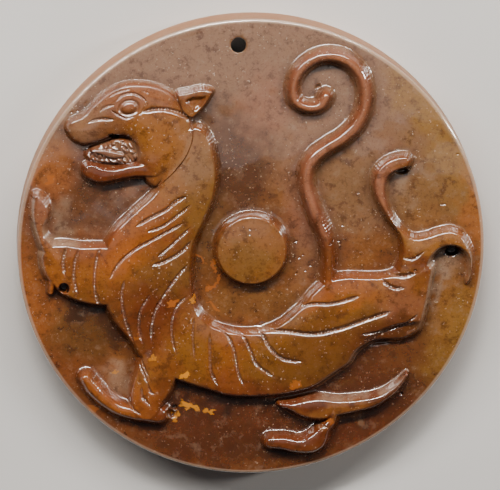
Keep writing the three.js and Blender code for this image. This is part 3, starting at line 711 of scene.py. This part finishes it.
# Soft clouds in the stone: colour, strength, x, y, half length, half breadth, heading in degrees.
CLOUDS = [
    ("ochre", 0.8, 25.5, 11, 5, 12, 12), ("olive", 0.7, 26, -12, 4, 9, -20),
    ("olive", 0.7, 23.5, 19, 4, 7, 40), ("amber", 0.8, -12, 15, 6, 5, 0),
    ("amber", 0.7, -8, 9, 4, 6, 20), ("brown", 0.6, -14, 21.5, 8, 3, 0),
    ("dark red", 0.7, -17.5, 10.5, 5, 3, 0), ("orange", 0.9, -16, 1.5, 6, 4.5, 20),
    ("olive", 0.55, -11.5, -3, 4, 3, 0), ("dark red", 0.8, -13, -9, 3.5, 5, 0),
    ("orange", 0.7, 11, -5.3, 5, 2.2, 10), ("orange", 0.5, -4, -14, 7, 5, 0),
    # On these two lines, the "dark brown" oval at 17.5, -11 is painted shade in the low band under the hock;
    # the one at 17, -17 makes the ground and legs below the haunch darker.
    ("dark brown", 0.4, 17.5, -11, 5, 2.5, -15), ("dark red", 0.8, 12, -20, 12, 8, 0),
    ("dark red", 0.7, -3, -24, 14, 6, 0), ("dark brown", 0.5, 17, -17, 9, 7, 30),
    ("orange", 0.5, -27, -8, 5, 9, 15), ("olive", 0.6, -22, -10.5, 4, 4, 0),
    ("orange", 0.6, -18, -19, 6, 3, -30), ("dark red", 0.5, -21, 4, 5, 5, 0),
    ("amber", 0.6, 0, 0, 5.4, 5.4, 0), ("dark red", 0.45, 9.3, 2, 3, 8, 0),
    ("ochre", 0.5, 1, -7.5, 6, 2.5, 0), ("olive", 0.6, 5, -14.5, 7, 3.5, 0),
    ("olive", 0.6, -6.3, 6.5, 3, 8, 0), ("olive", 0.5, -7.5, -14, 3, 4, 0),
    ("brown", 0.5, -12.5, 1.5, 3, 4, 0), ("olive", 0.5, 11, -9.3, 5, 2.2, 10),
    ("rose", 0.8, 10.5, 21, 7.5, 7, 0), ("rose", 0.8, 16.8, 9, 2.5, 5, 0),
    ("rose", 0.9, 7.5, 9, 2.8, 7.5, 0), ("rose", 0.5, 10.5, 14.5, 4.5, 3, 40),
    ("rose", 0.5, -16, 21, 7, 2.5, 0), ("mauve", 0.7, -21.5, 17, 3.6, 2.6, 20),
    ("mauve", 0.4, -7.5, 12.5, 2.6, 5, 0), ("mauve", 0.25, 0, 1.5, 5, 3.5, 0),
    ("olive", 0.6, -0.5, -1.6, 3.6, 2.6, 0), ("rose", 0.5, -27.2, 4.5, 1.6, 4, 0),
    ("rose", 0.35, 19.5, -7, 3, 2, 0), ("gold", 0.6, 23.5, 1.2, 4.5, 1.6, 0),
    ("rose", 0.4, 24, 1.6, 4, 1.2, 0), ("brown", 0.5, 10.5, -9.5, 3.5, 1.8, 10),
    ("brown", 0.5, 6.5, -13.5, 4, 3, 20), ("amber", 0.7, 24, 1.3, 4, 2.2, 0),
    ("amber", 0.6, 10, -21.8, 5.5, 1.2, 10),
]

# Clouds that lie on the ground of the carved face only: colours of the stone, with painted shadows where the
# figure casts its shadows, and a painted reflection in the pale mauve.
GROUND_TINTS_AND_PAINTED_LIGHT = [
    # The pale "mauve" ovals: partly the stone's pinkish tone, partly a painted reflection of the light above,
    # strongest over the upper ground.
    ("mauve", 0.95, -2, 25, 30, 9, 0), ("mauve", 0.75, 16, 17, 13, 11, -30),
    ("mauve", 0.55, 12.5, 8, 4, 6, 0), ("mauve", 0.5, -1, 15, 9, 8, 0),
    ("mauve", 0.6, -20, 6, 6, 5, 0), ("dark brown", 0.75, -20.5, 6, 5.5, 3.2, 10),
    # Painted shadows: the two "dark brown" ovals on the next line lie where the elbow and the belly cast
    # their shadows.
    ("dark brown", 0.8, -20.8, -8.2, 4.5, 2.2, -25), ("dark brown", 0.7, -5.5, -21, 8, 1.8, 0),
    ("dark brown", 0.75, -1.8, 10.5, 4.5, 7.5, 10), ("orange", 0.45, -26, 8.5, 2.5, 4.5, -15),
    ("brown", 0.5, -22, 6.6, 2.6, 2.2, 0), ("dark brown", 0.6, -2, -26, 11, 2.8, 0),
    # Painted shadows: the "black" ovals lie where the figure casts its shadows, under the elbow, chest,
    # belly, hind legs, front foot and jaw.
    ("black", 0.6, -20.7, -8.1, 2.6, 0.8, -10), ("black", 0.6, -16.6, -11.3, 2.4, 0.7, -50),
    ("black", 0.6, 0, -20.5, 9, 0.6, 0), ("black", 0.7, 6.5, -23, 2.8, 0.8, -10),
    ("black", 0.5, 14.5, -22.5, 3.5, 0.6, 20), ("black", 0.6, -17.3, 8.3, 3, 0.55, 10),
    ("black", 0.5, -15, -22.8, 4, 0.5, -15), ("dark brown", 0.4, -22, -13, 5, 5, 0),
    ("ochre", 0.4, 2, -7.5, 6, 2, 0), ("brown", 0.5, 1.5, -7.8, 5, 2, 0),
    ("mauve", 0.4, 13, 8, 6, 6, 0), ("gold", 0.65, 26, 13.5, 3.5, 8, 15),
    ("orange", 0.5, 28.8, 2, 1.8, 9, 0), ("gold", 0.6, 21.5, 19.5, 3, 5, 40),
    ("ochre", 0.6, 20.5, 6.5, 4, 3.5, 0), ("ochre", 0.45, 12, 8, 4, 5, 0),
    ("rose", 0.5, 2, 19, 3.5, 4, 0), ("gold", 0.5, 25.5, -12.5, 2.6, 7, -20),
    ("amber", 0.4, 24, -7, 2.5, 4, 0), ("brown", 0.5, 20, -14.5, 5, 2.5, 30),
    ("ash", 0.5, 18.6, 8, 1.6, 2.5, 0), ("ash", 0.5, 25.5, -2.6, 2, 1.6, 0),
    ("ash", 0.7, 24.1, -4.6, 0.7, 4.2, -7), ("ash", 0.6, -16.8, -17.3, 2.4, 1.5, -30),
    ("ash", 0.5, -24.6, 3.6, 1.6, 2, 0), ("mauve", 0.4, 8, -2, 3, 5, 0),
]

# Pale clouds on walls that were left rough.
WORN_WALLS = [
    ("ash", 0.9, 23.6, -5, 1.8, 5.5, -7), ("ash", 0.5, 11.8, -15.2, 4.5, 1.4, 38),
    ("ash", 0.6, -27.5, 1.5, 1.5, 6, 0), ("ash", 0.6, -24.5, 1.5, 3, 2, 0),
    ("ash", 0.25, -13.5, 6.5, 3.5, 2, 45), ("ash", 0.4, 28.2, -1.5, 1.2, 4, 0),
    ("ash", 0.5, 14, -18.8, 6, 1.2, 15),
]

# Small flecks with ragged edges, and painted shade: the "black" ovals darken the deep holes.
FLECKS = [
    ("black", 0.95, 25.85, -0.8, 0.85, 0.55, 0), ("black", 0.9, -24.1, -4.7, 0.65, 0.6, 0),
    ("black", 0.9, -17.6, 15.1, 0.8, 0.3, -5), ("black", 0.8, 19.3, 9.9, 1, 0.35, 0),
    ("ash", 0.25, -17.2, 12.9, 3.4, 1.5, 0), ("orange", 0.9, -10.1, -6.8, 0.75, 0.3, 10),
    ("yellow", 0.7, -7.6, -6.5, 0.3, 0.35, 0), ("orange", 0.8, -4.7, -7.6, 0.9, 0.25, -30),
    ("orange", 0.9, -25.8, 9.3, 0.8, 0.4, 35), ("yellow", 0.5, -17.5, -16.1, 0.5, 0.3, 0),
    ("yellow", 0.45, -12.8, -14, 0.5, 0.3, 20), ("orange", 0.5, -14.8, -11.2, 0.5, 0.4, 20),
    ("yellow", 0.95, -8.6, -16.3, 0.75, 0.45, 10), ("yellow", 0.85, -7.9, -20.8, 1.2, 0.45, -20),
    ("yellow", 0.7, -5.4, -21.7, 0.6, 0.3, 0), ("yellow", 0.6, -9.8, -22.3, 0.4, 0.6, 0),
    ("orange", 0.9, -20.6, -20.9, 0.7, 0.4, -30), ("orange", 0.8, 5.7, -17.9, 0.9, 0.5, 10),
    ("orange", 0.7, 10, -22.7, 0.5, 0.3, 0), ("orange", 0.9, -6.6, -1.4, 0.9, 0.2, -25),
    ("orange", 0.9, -4.8, -2.4, 0.22, 0.9, 10), ("orange", 0.95, -4.1, -4.1, 0.3, 0.8, -20),
    ("orange", 0.9, -5, -5, 1, 0.25, 35),
]


def laid(layers, x, y):
    """Soft ovals of colour laid over one another: the colour at the places x, y, and how far it covers.

    Each layer is its ovals, the softness of their edges, and a share for each place.
    """
    shift_x, shift_y = (sampled(waves(*SHAKE_WAVES), x, y) for _ in range(2))
    tint = np.zeros((len(x), 4))
    cover = np.zeros(len(x))
    for entries, soft, share in layers:
        for name, strength, *shape in entries:
            away = oval(*shape, at=(x + SHAKE * shift_x, y + SHAKE * shift_y))
            here = strength * share * smooth_step((1 + soft - away) / (2 * soft))
            tint = tint * (1 - here)[:, None] + np.array(STONE[name]) * here[:, None]
            cover = cover * (1 - here) + here
    return tint / np.maximum(cover, 1e-6)[:, None], cover


def spread(values, reach):
    """The mean over a square of samples that reaches this far to each side."""
    count = round(reach / PITCH)
    for _ in range(2):
        total = np.cumsum(np.pad(values.T, ((count + 1, count), (0, 0)), "edge"), axis=0)
        values = (total[2 * count + 1:] - total[:-2 * count - 1]) / (2 * count + 1)
    return values


def finish_face(piece, height, cut, dull):
    """Gives the carved face's vertices the normals of the worked-out surface, by central differences.

    With them go the clouds' colours, among them painted shade on the walls and on the ground beside them, and
    values for
    the finish: how much each place is ground, incised, steep, dull and near to a wall.
    """
    mesh = piece.data
    points = np.empty(len(mesh.vertices) * 3, np.float32)
    mesh.vertices.foreach_get("co", points)
    x, y, z = points.reshape(-1, 3).T.astype(float) * 1000
    step = PITCH
    rise_x = (sampled(height, x + step, y) - sampled(height, x - step, y)) / (2 * step)
    rise_y = (sampled(height, x, y + step) - sampled(height, x, y - step)) / (2 * step)
    normals = np.column_stack([-rise_x, -rise_y, np.ones(len(x))])
    normals /= np.linalg.norm(normals, axis=1)[:, None]
    to_hole = np.hypot(x - HOLE_PLACE[0], y - HOLE_PLACE[1])
    face = z > GROUND - EDGE_ZONE
    inner_face = face & (np.hypot(x, y) < FACE_RADIUS - EDGE_ZONE) & (to_hole > HOLE_RADIUS + HOLE_MARGIN)
    normals[~inner_face] = 0
    slope_x, slope_y = np.gradient(height, PITCH)
    around = spread(smooth_step(np.hypot(slope_x, slope_y) / FULL_SLOPE), 1.1)
    marks = {
        "ground": (1 - smooth_step(sampled(height, x, y) / 1.1)) * face,
        "incised": np.clip(sampled(cut, x, y) / LINE_DEPTH, 0, 1) * face,
        "steep": smooth_step(np.hypot(rise_x, rise_y) / FULL_SLOPE) * face,
        "dull": sampled(dull, x, y) * face,
        "beside": np.clip(sampled(around, x, y) * 3, 0, 1) * face,
    }
    tint, marks["cover"] = laid([
        (CLOUDS, 0.55, 1.0),
        # Painted shade: every steep wall darker red.
        ([("dark red", 0.6, 0, 0, 40, 40, 0)], 0.5, marks["steep"]),
        (WORN_WALLS, 0.6, marks["steep"]),
        (GROUND_TINTS_AND_PAINTED_LIGHT, 0.6, marks["ground"]),
        # Painted shade on the ground at the foot of the walls, together with the dirt of the crevices there.
        ([("dark brown", 0.4, 0, 0, 40, 40, 0)], 0.5, marks["ground"] * marks["beside"]),
    ], x, y)
    for name, value in marks.items():
        mesh.attributes.new(name, "FLOAT", "POINT").data.foreach_set("value", value.astype(np.float32))
    colours = mesh.attributes.new("tint", "FLOAT_COLOR", "POINT")
    colours.data.foreach_set("color", tint.astype(np.float32).ravel())
    mesh.normals_split_custom_set_from_vertices(normals.tolist())


def drill():
    """The cord hole's cutter: a round bar leaning toward the disc's middle on its way down."""
    count = HOLE_SIDES
    turn = 2 * math.pi * np.arange(count) / count
    ends = (-4.0, 12.0)
    lean = math.tan(math.radians(HOLE_LEAN))
    ring_x = HOLE_PLACE[0] + HOLE_RADIUS * np.cos(turn)
    ring_y = HOLE_PLACE[1] + HOLE_RADIUS * np.sin(turn)
    points = np.concatenate([
        np.column_stack([ring_x, ring_y + (h - GROUND) * lean, np.full(count, h)]) for h in ends])
    low = list(range(count))
    high = [n + count for n in low]
    faces = [low[::-1], high]
    faces += [[low[n - 1], low[n], high[n], high[n - 1]] for n in [*low[1:], 0]]
    mesh = bpy.data.meshes.new("drill")
    mesh.from_pydata((points / 1000).tolist(), [], faces)
    mesh.update()
    return placed("drill", mesh)


def bored(piece, bar):
    """Takes the bar out of the piece for good and deletes the bar."""
    cut = piece.modifiers.new("bore", "BOOLEAN")
    cut.operation = "DIFFERENCE"
    cut.solver = "EXACT"
    cut.object = bar
    graph = bpy.context.evaluated_depsgraph_get()
    result = bpy.data.meshes.new_from_object(piece.evaluated_get(graph))
    piece.modifiers.clear()
    piece.data = result
    bpy.data.objects.remove(bar)


vertices, triangles, carved = disc_mesh()
stone = new_object("jade_disc", vertices / 1000, triangles)
bored(stone, drill())
stone.data.name = "jade_disc"
stone.data.shade_smooth()
stone.data.set_sharp_from_angle(angle=math.radians(SHARP))
finish_face(stone, *carved)
print("stone triangles", sum(len(p.vertices) - 2 for p in stone.data.polygons))


class Socket:
    """An output socket that takes part in sums: each operator adds the Math node that works it out."""

    def __init__(self, tree, link=None):
        self.tree = tree
        self.link = link

    def add(self, kind, settings=None, inputs=None, output=0):
        """Adds a node of a kind: its settings first, then the values or links of its sockets."""
        node = self.tree.nodes.new("ShaderNode" + kind)
        for name, value in (settings or {}).items():
            setattr(node, name, value)
        for name, value in (inputs or {}).items():
            if isinstance(value, Socket):
                self.tree.links.new(value.link, node.inputs[name])
            else:
                node.inputs[name].default_value = value
        return Socket(self.tree, node.outputs[output] if len(node.outputs) else None)

    def math(self, operation, *values):
        """One Math node on these values or sockets."""
        return self.add("Math", {"operation": operation}, dict(enumerate(values)))

    def __add__(self, other):
        return self.math("ADD", self, other)

    def __radd__(self, other):
        return self.math("ADD", other, self)

    def __rsub__(self, other):
        return self.math("SUBTRACT", other, self)

    def __mul__(self, other):
        return self.math("MULTIPLY", self, other)

    def __rmul__(self, other):
        return self.math("MULTIPLY", other, self)

    def vector(self, operation, *values, output=0):
        """One Vector Math node on these values or sockets."""
        return self.add("VectorMath", {"operation": operation}, dict(enumerate(values)), output)

    def mix(self, share, one, other):
        """One colour turned into another by a share of 0 to 1."""
        return self.add("Mix", {"data_type": "RGBA"}, {0: share, 6: one, 7: other}, output=2)

    def mixed(self, other, share):
        """This colour turned into another by a share of 0 to 1."""
        return self.mix(share, self, other)

    def value(self, attribute):
        """A value that the mesh carries."""
        return self.add("Attribute", {"attribute_name": attribute}, output=2)

    def ramp(self, low, high, to_low=0.0, to_high=1.0):
        """Smoothly from to_low at low to to_high at high, and level beyond."""
        return self.add("MapRange", {"interpolation_type": "SMOOTHSTEP"}, {
            "Value": self, "From Min": low, "From Max": high, "To Min": to_low, "To Max": to_high})

    def noise(self, size_mm, detail=3.0, roughness=0.55, twist=0.0, output=0):
        """A cloudy value between 0 and 1, with clouds about size_mm across, or a colour as output 1."""
        return self.add("TexNoise", {"noise_dimensions": "3D"}, {
            "Vector": self, "Scale": 1000 / size_mm, "Detail": detail, "Roughness": roughness,
            "Distortion": twist}, output)


def spot(place, centre_x, centre_y, half_length, half_breadth, heading, soft=0.2):
    """1 in the middle of an ellipse and 0 outside it, with a soft edge; it runs right through the stone."""
    local = place.add("Mapping", {"vector_type": "TEXTURE"}, {
        "Vector": place,
        "Location": (centre_x / 1000, centre_y / 1000, GROUND / 1000),
        "Rotation": (0, 0, math.radians(heading)),
        "Scale": (half_length / 1000, half_breadth / 1000, 0.03)})
    return place.vector("LENGTH", local, output=1).ramp(1 + soft, 1 - soft)


def jade():
    """Brown jade: cloudy, slightly see-through and polished, with pale powder in its cuts, and pale painted
    highlight lines on its rim edges.
    """
    material = bpy.data.materials.new("jade")
    material.use_nodes = True
    tree = material.node_tree
    tree.nodes.clear()
    start = Socket(tree)
    place = start.add("TexCoord", output=3)
    ragged = place.noise(0.9, 3.0, 0.6, output=1)
    shaken = start.vector("SUBTRACT", ragged, (0.5, 0.5, 0.5))
    near = start.vector("MULTIPLY_ADD", shaken, (FLECK_SHAKE,) * 3, place)

    cloud = place.noise(9.0, 5.0, 0.62, 0.4)
    vein = place.noise(3.2, 6.0, 0.7, 1.2)
    base = start.mix(cloud.ramp(0.36, 0.62), STONE["dark red"], STONE["amber"])
    base = base.mixed(STONE["brown"], vein.ramp(0.35, 0.65, 0.25, 0.75))
    ground, incised, steep, beside, cover, dull = (
        start.value(name) for name in ("ground", "incised", "steep", "beside", "cover", "dull"))
    base = base.mixed(start.add("Attribute", {"attribute_name": "tint"}), cover)
    mottle = place.noise(1.5, 6.0, 0.72)
    base = base.mixed(STONE["dark brown"], mottle.ramp(0.5, 0.66) * 0.62)
    base = base.mixed(STONE["ash"], mottle.ramp(0.47, 0.3) * (0.08 + ground * 0.22))
    grit = place.noise(0.4, 3.0, 0.7)
    base = base.mixed(STONE["dark brown"], grit.ramp(0.52, 0.68) * 0.35)
    for name, strength, *shape in FLECKS:
        base = base.mixed(STONE[name], spot(near, *shape) * strength)
    speckle = place.noise(0.33, 2.0, 0.6)
    patchy = place.noise(6.0, 3.0).ramp(0.42, 0.62, 0.1, 0.8)
    base = base.mixed(STONE["dust and highlight"], speckle.ramp(0.66, 0.71) * (patchy * 0.6 + beside * 0.3))
    base = base.mixed(STONE["dust and highlight"], incised.ramp(0.05, 0.5) * grit.ramp(0.35, 0.65, 0.0, 0.16))

    # The rim: its plain side, and pale lines on its two edges that are painted highlights looking like wear;
    # heights in metres
    level = start.add("SeparateXYZ", None, {"Vector": place}, output=2)
    from_axis = start.vector("LENGTH", start.vector("MULTIPLY", place, (1.0, 1.0, 0.0)), output=1)
    on_rim = from_axis.ramp((FACE_RADIUS - 0.15) / 1000, (FACE_RADIUS + 0.1) / 1000)
    side = on_rim * level.ramp(0.0046, 0.0042)
    base = base.mixed(STONE["amber"], side * 0.9)
    # Painted highlights: pale lines on the rim's back edge and on the edge of the face.
    base = base.mixed(STONE["dust and highlight"], on_rim * level.ramp(0.0007, 0.0003) * 0.6)
    base = base.mixed(STONE["dust and highlight"], on_rim * level.ramp(0.0043, 0.0046) * 0.4)

    # The polish: duller on the ground and the side, glossy at the feet and shoulders of the walls
    rough = place.noise(2.0, 4.0, 0.6).ramp(0.3, 0.7, 0.1, 0.18) + ground * 0.08 + side * 0.3
    grain = place.noise(0.3, 2.0, 0.6)
    fine = grain * (0.4 + ground * 0.5 + steep * 0.4) + place.noise(1.3, 2.0, 0.5) * 1.6
    bump = start.add("Bump", None, {"Strength": 1.0, "Distance": 0.000016, "Height": fine})
    mid_wall = steep.ramp(0.42, 0.62)
    coat = (ground + steep.ramp(0.02, 0.15)).ramp(0.0, 0.8, 0.35, 1.0)
    shader = start.add("BsdfPrincipled", None, {
        "Base Color": base,
        "Roughness": rough + mid_wall * 0.05 + dull * 0.15,
        "Normal": bump,
        "IOR": 1.61,
        "Subsurface Weight": 0.15,
        "Subsurface Radius": (1.0, 0.35, 0.12),
        "Subsurface Scale": 0.0004,
        "Coat Weight": coat * (1 - side) * (1 - dull * 0.9) * (1 - mid_wall * 0.85),
        "Coat IOR": 2.0,
        "Coat Roughness": 0.05,
    })
    start.add("OutputMaterial", None, {"Surface": shader})
    return material


stone.data.materials.clear()
stone.data.materials.append(jade())
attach(stone, "root")
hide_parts("carved_disc")


def floor():
    """A pale plain floor, far wider than the view."""
    half = 1.5
    piece = new_object("floor", np.array([
        [-half, -half, 0], [half, -half, 0], [half, half, 0], [-half, half, 0]]), np.array([[0, 1, 2, 3]]))
    material = bpy.data.materials.new("pale floor")
    material.use_nodes = True
    start = Socket(material.node_tree)
    place = start.add("TexCoord", output=3)
    tone = place.noise(40.0, 3.0).ramp(0.3, 0.7)
    plain = material.node_tree.nodes["Principled BSDF"]
    shade = start.mix(tone, colour(0.62, 0.61, 0.59), colour(0.66, 0.65, 0.63))
    material.node_tree.links.new(shade.link, plain.inputs["Base Color"])
    plain.inputs["Roughness"].default_value = 0.7
    piece.data.materials.append(material)


def lamp(name, direction, distance, width, height, power, tint):
    """A soft rectangular light that faces the disc from a direction."""
    data = bpy.data.lights.new(name, "AREA")
    data.shape = "RECTANGLE"
    data.size = width
    data.size_y = height
    data.energy = power
    data.color = tint
    light = placed(name, data)
    toward = Vector(direction).normalized()
    light.location = toward * distance
    light.rotation_euler = toward.to_track_quat("Z", "Y").to_euler()


floor()

# Lights: direction, distance, width, height, power and colour. The strip draws the glints on the walls.
lamp("key", (-0.12, 0.74, 0.67), 0.5, 0.16, 0.02, 1.2, (1.0, 0.95, 0.9))
lamp("strip", (-0.12, 0.76, 0.64), 0.5, 0.9, 0.03, 6.0, (1.0, 0.95, 0.9))
lamp("overhead", (0.0, -0.05, 0.998), 0.5, 0.34, 0.15, 0.065, (1.0, 0.93, 0.9))
lamp("side", (0.85, 0.25, 0.45), 0.5, 0.03, 0.25, 1.0, (1.0, 0.95, 0.9))
lamp("low", (-0.1, 0.96, 0.22), 0.6, 1.2, 0.1, 0.12, (1.0, 0.94, 0.92))
world = bpy.data.worlds.new("studio")
world.use_nodes = True
world.node_tree.nodes["Background"].inputs["Color"].default_value = (0.9, 0.92, 1.0, 1.0)
world.node_tree.nodes["Background"].inputs["Strength"].default_value = 0.03
bpy.context.scene.world = world

# Camera: a long lens about 14 degrees off the disc's normal, toward the cord hole.
CAMERA_DISTANCE = 0.9
FIELD_WIDTH = 0.06418     # width of the view at the disc
SENSOR = 36.0
look_right = Vector((0.99866, 0.0, 0.0518))
look_up = Vector((0.01226, 0.9716, -0.2363))
look_back = look_right.cross(look_up).normalized()
target = Vector((-0.000154, 0.000412, GROUND / 1000))
camera_data = bpy.data.cameras.new("camera")
camera_data.sensor_width = SENSOR
camera_data.lens = SENSOR * CAMERA_DISTANCE / FIELD_WIDTH
camera_data.clip_start = 0.01
camera_data.clip_end = 20.0
camera = placed("camera", camera_data)
turn = Matrix((look_right, look_up, look_back)).transposed().to_4x4()
camera.matrix_world = Matrix.Translation(target + CAMERA_DISTANCE * look_back) @ turn
bpy.context.scene.camera = camera
